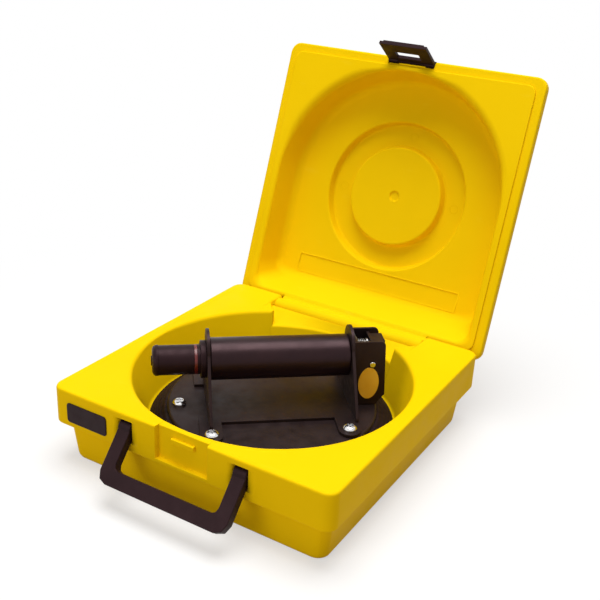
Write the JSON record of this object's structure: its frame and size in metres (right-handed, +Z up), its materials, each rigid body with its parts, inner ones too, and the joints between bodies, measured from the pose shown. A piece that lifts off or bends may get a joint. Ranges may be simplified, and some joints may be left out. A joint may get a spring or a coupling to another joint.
{
  "type": "vacuum cup lifter in a carrying case",
  "caption": "Hand vacuum cup lifter with a pump grip and rubber suction pad, lying in the round pocket of an open moulded carrying case with lid, latch and bail handle.",
  "frame": {"origin": "centre of the case's underside, on the floor", "axes": "+X to the right along the lid's hinge, +Y from the front to the hinge, +Z up; the front with the carry handle faces -Y"},
  "size_m": [0.316, 0.5015, 0.3836],
  "materials": {
    "case_yellow": "moulded, soft satin sheen",
    "black_plastic": "moulded, satin",
    "black_rubber": "matt",
    "black_paint": "semi-gloss black paint",
    "bright_steel": "bright plated",
    "plain_steel": "plain",
    "cast_alloy": "machined",
    "indicator_red": "plain",
    "decal_orange": "bare printed film"
  },
  "bodies": {
    "case": {"base_tray": "case_yellow", "base_tub": "case_yellow", "hinge_pin": "plain_steel", "handle_pins": "plain_steel", "label_plate": "black_plastic"},
    "lid": {"lid_shell": "case_yellow", "lid_panel": "case_yellow", "latch_pin": "plain_steel"},
    "latch_arm": {"latch": "black_plastic"},
    "bail": {"carry_handle": "black_plastic"},
    "lifter": {"suction_pad": "black_rubber", "cup_plate": "black_paint", "plate_screws": "bright_steel", "handle_frame": "black_paint", "grip_sleeve": "black_rubber", "pump_barrel": "black_paint", "gland_collar": "black_plastic", "valve_block": "cast_alloy", "check_valve": "black_rubber", "vacuum_pipe": "plain_steel", "valve_guard": "black_paint", "lever_pin": "bright_steel", "guard_decal": "decal_orange", "plunger_spring": "plain_steel", "valve_spring": "plain_steel"},
    "pump_plunger": {"plunger": "black_plastic", "plunger_knob": "black_plastic", "indicator_ring": "indicator_red", "piston": "cast_alloy", "piston_seal": "black_rubber"},
    "release": {"release_lever": "black_paint"},
    "valve": {"valve_stem": "bright_steel"}
  },
  "joints": [
    {"name": "lid_hinge", "type": "hinge", "parent": "case", "child": "lid", "pos_m": [0, 0.15, 0.073], "axis": [1, 0, 0], "range_deg": [0, 109]},
    {"name": "latch_hinge", "type": "hinge", "parent": "lid", "child": "latch_arm", "pos_m": [0, 0.2643, 0.35886], "axis": [1, 0, 0], "range_deg": [-90, 17]},
    {"name": "handle_swing", "type": "hinge", "parent": "case", "child": "bail", "pos_m": [0, -0.155, 0.067], "axis": [-1, 0, 0], "range_deg": [0, 80]},
    {"name": "lifter_lift", "type": "slide", "parent": "case", "child": "lifter", "axis": [0, 0, -1], "range_m": [-0.08, 0]},
    {"name": "plunger_slide", "type": "slide", "parent": "lifter", "child": "pump_plunger", "axis": [0.7604, 0.6494, 0], "range_m": [0, 0.038], "stiffness_N_per_m": 300, "springref_m": -0.02, "deforming": ["plunger_spring"]},
    {"name": "lever_hinge", "type": "hinge", "parent": "lifter", "child": "release", "pos_m": [0.07505, 0.0576, 0.095], "axis": [0.6494, -0.7604, 0], "range_deg": [0, 10], "stiffness_Nm_per_rad": 0.3, "springref_deg": -11.46},
    {"name": "valve_slide", "type": "slide", "parent": "lifter", "child": "valve", "axis": [-0.7604, -0.6494, 0], "range_m": [0, 0.003], "deforming": ["valve_spring"]}
  ],
  "couplings": [
    {"joint": "valve_slide", "follows": "lever_hinge", "m_per_rad": 0.0166}
  ]
}
